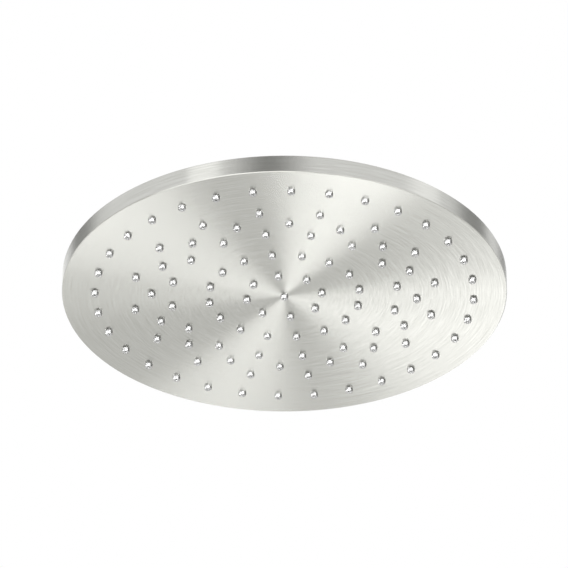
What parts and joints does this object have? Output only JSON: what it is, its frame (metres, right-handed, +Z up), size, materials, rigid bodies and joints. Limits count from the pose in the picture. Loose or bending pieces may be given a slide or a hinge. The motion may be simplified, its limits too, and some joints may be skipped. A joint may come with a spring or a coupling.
{
  "type": "shower head",
  "caption": "Flat round rain shower head: brushed steel disc with a straight rim and rings of short silicone nozzles, hung by a threaded ball-joint inlet on its back.",
  "frame": {"origin": "middle of the inlet thread's mouth, where the shower arm enters", "axes": "+Z up along the inlet thread, towards the shower arm; the disc hangs below, its face at -Z; +X through one nozzle of the outer ring and across the collar's two flats"},
  "size_m": [0.25, 0.25, 0.0607],
  "materials": {
    "face_steel": "brushed in circles",
    "back_steel": "brushed in circles",
    "turned_steel": "turned",
    "screen_steel": "woven wire",
    "nickel_brass": "brushed nickel plate",
    "silicone": "smooth translucent white",
    "black_rubber": "matte",
    "acetal": "smooth",
    "insert_plastic": "moulded"
  },
  "bodies": {
    "swivel": {"swivel_ball": "nickel_brass", "filter_screen": "screen_steel", "inlet_washer": "black_rubber", "flow_regulator": "insert_plastic", "regulator_ring": "black_rubber"},
    "seat": {"slip_ring": "acetal", "ball_seal": "black_rubber"},
    "head": {"union_nut": "nickel_brass", "inlet_stub": "turned_steel", "back_cover": "back_steel", "face_pan": "face_steel", "nozzle_mat": "silicone", "pressure_plate": "insert_plastic"}
  },
  "joints": [
    {"name": "tilt", "type": "hinge", "parent": "swivel", "child": "seat", "pos_m": [0, 0, -0.034], "axis": [1, 0, 0], "range_deg": [-15, 15]},
    {"name": "turn", "type": "hinge", "parent": "seat", "child": "head", "pos_m": [0, 0, -0.034], "axis": [0, 0, 1], "continuous": true}
  ]
}
